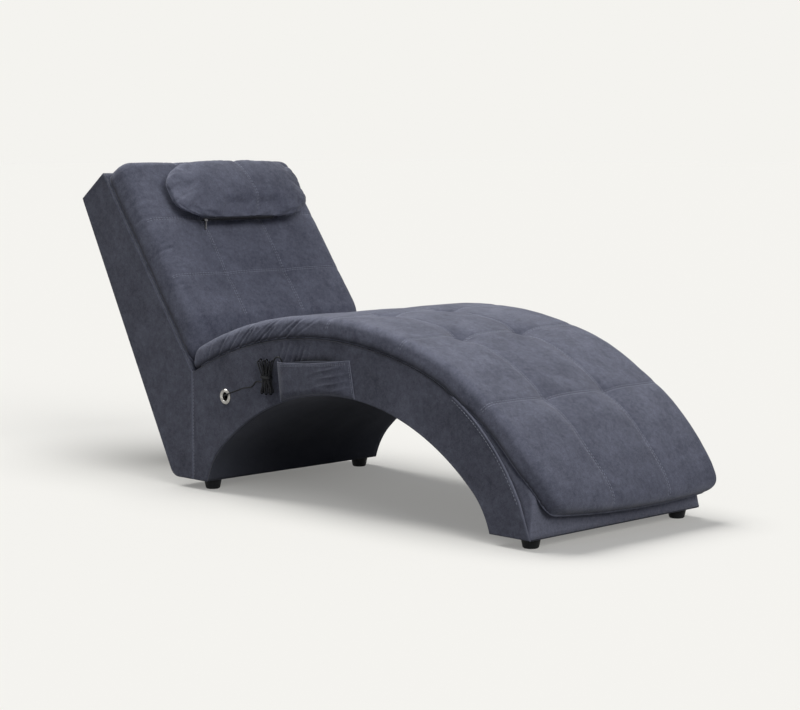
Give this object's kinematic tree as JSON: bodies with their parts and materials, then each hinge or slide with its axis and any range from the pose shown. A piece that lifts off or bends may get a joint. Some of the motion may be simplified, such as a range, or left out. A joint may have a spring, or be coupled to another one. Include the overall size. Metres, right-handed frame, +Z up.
{
  "type": "relaxation lounger",
  "caption": "Upholstered relaxation lounger with a swept arched frame, reclined back, seamed cushions, a loose pillow, a side pocket and a corded hand control.",
  "frame": {"origin": "on the floor under the middle of the lounger", "axes": "+X from the head to the foot end, +Y across to the side away from the pocket, +Z up"},
  "size_m": [1.4597, 0.5447, 0.729],
  "materials": {
    "suede": "worn faux suede",
    "lining": "non-woven",
    "foam": "open-cell foam",
    "timber": "sawn",
    "plywood": "sawn veneer",
    "steel": "zinc plated",
    "bright_metal": "polished nickel",
    "black_plastic": "fine grain",
    "grey_plastic": "moulded",
    "button_rubber": "smooth",
    "cable_rubber": "smooth jacket",
    "circuit": "lacquered laminate",
    "zip_tape": "woven"
  },
  "bodies": {
    "frame": {"back_cushion_cover": "suede", "back_cushion_foam": "foam", "back_deck": "plywood", "back_deck_cover": "suede", "back_top_rail": "timber", "cable_eyelet": "bright_metal", "cable_hank": "cable_rubber", "cable_tie": "black_plastic", "control_box": "black_plastic", "eyelet_washer": "bright_metal", "foot_blocks": "timber", "foot_bolts": "steel", "foot_inserts": "steel", "foot_wedge": "suede", "frame_screws": "steel", "front_left_foot": "black_plastic", "front_right_foot": "black_plastic", "hand_cable": "cable_rubber", "hand_cable_end": "cable_rubber", "heating_pad": "lining", "heel_rail": "timber", "left_back_side_cover": "suede", "left_seat_side_cover": "suede", "left_side_board": "timber", "motor_cases": "grey_plastic", "power_inlet": "black_plastic", "rear_board": "plywood", "rear_cover": "suede", "rear_left_foot": "black_plastic", "rear_right_foot": "black_plastic", "right_back_side_cover": "suede", "right_seat_side_cover": "suede", "right_side_board": "timber", "seat_cushion_cover": "suede", "seat_cushion_foam": "foam", "seat_deck": "plywood", "seat_deck_cover": "suede", "seat_rails": "timber", "side_pocket": "suede", "toe_cover": "suede", "toe_rail": "timber", "underside_lining": "lining"},
    "pillow": {"pillow_cover": "suede", "pillow_filling": "foam", "zip_tape": "zip_tape"},
    "slider": {"zip_slider": "bright_metal"},
    "pull": {"zip_pull": "bright_metal"},
    "hand_control": {"handset_rear_shell": "black_plastic", "handset_front_shell": "black_plastic", "handset_circuit": "circuit", "cable_relief": "cable_rubber"},
    "power_button": {"power_button": "button_rubber"},
    "mode_button": {"mode_button": "button_rubber"},
    "strength_button": {"strength_button": "button_rubber"},
    "heat_button": {"heat_button": "button_rubber"},
    "upper_back_weight": {"upper_back_motor_weight": "steel"},
    "lower_back_weight": {"lower_back_motor_weight": "steel"},
    "hip_weight": {"hip_motor_weight": "steel"},
    "thigh_weight": {"thigh_motor_weight": "steel"}
  },
  "joints": [
    {"name": "pillow_lift", "type": "slide", "parent": "frame", "child": "pillow", "axis": [0.8059, 0, 0.592], "range_m": [0, 0.06]},
    {"name": "zip_travel", "type": "slide", "parent": "pillow", "child": "slider", "axis": [0, 1, 0], "range_m": [0, 0.198]},
    {"name": "zip_pull_swing", "type": "hinge", "parent": "slider", "child": "pull", "pos_m": [-0.44637, -0.123, 0.59128], "axis": [0.8059, 0, 0.592], "range_deg": [-48, 104]},
    {"name": "hand_control_lift", "type": "slide", "parent": "frame", "child": "hand_control", "axis": [-0.1167, 0, 0.9932], "range_m": [0, 0.095], "deforming": ["hand_cable_end"]},
    {"name": "power_button_press", "type": "slide", "parent": "hand_control", "child": "power_button", "axis": [0, 1, 0], "range_m": [0, 0.0006], "stiffness_N_per_m": 500},
    {"name": "mode_button_press", "type": "slide", "parent": "hand_control", "child": "mode_button", "axis": [0, 1, 0], "range_m": [0, 0.0006], "stiffness_N_per_m": 500},
    {"name": "strength_button_press", "type": "slide", "parent": "hand_control", "child": "strength_button", "axis": [0, 1, 0], "range_m": [0, 0.0006], "stiffness_N_per_m": 500},
    {"name": "heat_button_press", "type": "slide", "parent": "hand_control", "child": "heat_button", "axis": [0, 1, 0], "range_m": [0, 0.0006], "stiffness_N_per_m": 500},
    {"name": "upper_back_weight_spin", "type": "hinge", "parent": "frame", "child": "upper_back_weight", "pos_m": [-0.58822, 0, 0.56724], "axis": [0, 1, 0], "continuous": true},
    {"name": "lower_back_weight_spin", "type": "hinge", "parent": "frame", "child": "lower_back_weight", "pos_m": [-0.4639, 0, 0.398], "axis": [0, 1, 0], "continuous": true},
    {"name": "hip_weight_spin", "type": "hinge", "parent": "frame", "child": "hip_weight", "pos_m": [0.01925, 0, 0.33217], "axis": [0, 1, 0], "continuous": true},
    {"name": "thigh_weight_spin", "type": "hinge", "parent": "frame", "child": "thigh_weight", "pos_m": [0.3166, 0, 0.30877], "axis": [0, 1, 0], "continuous": true}
  ]
}
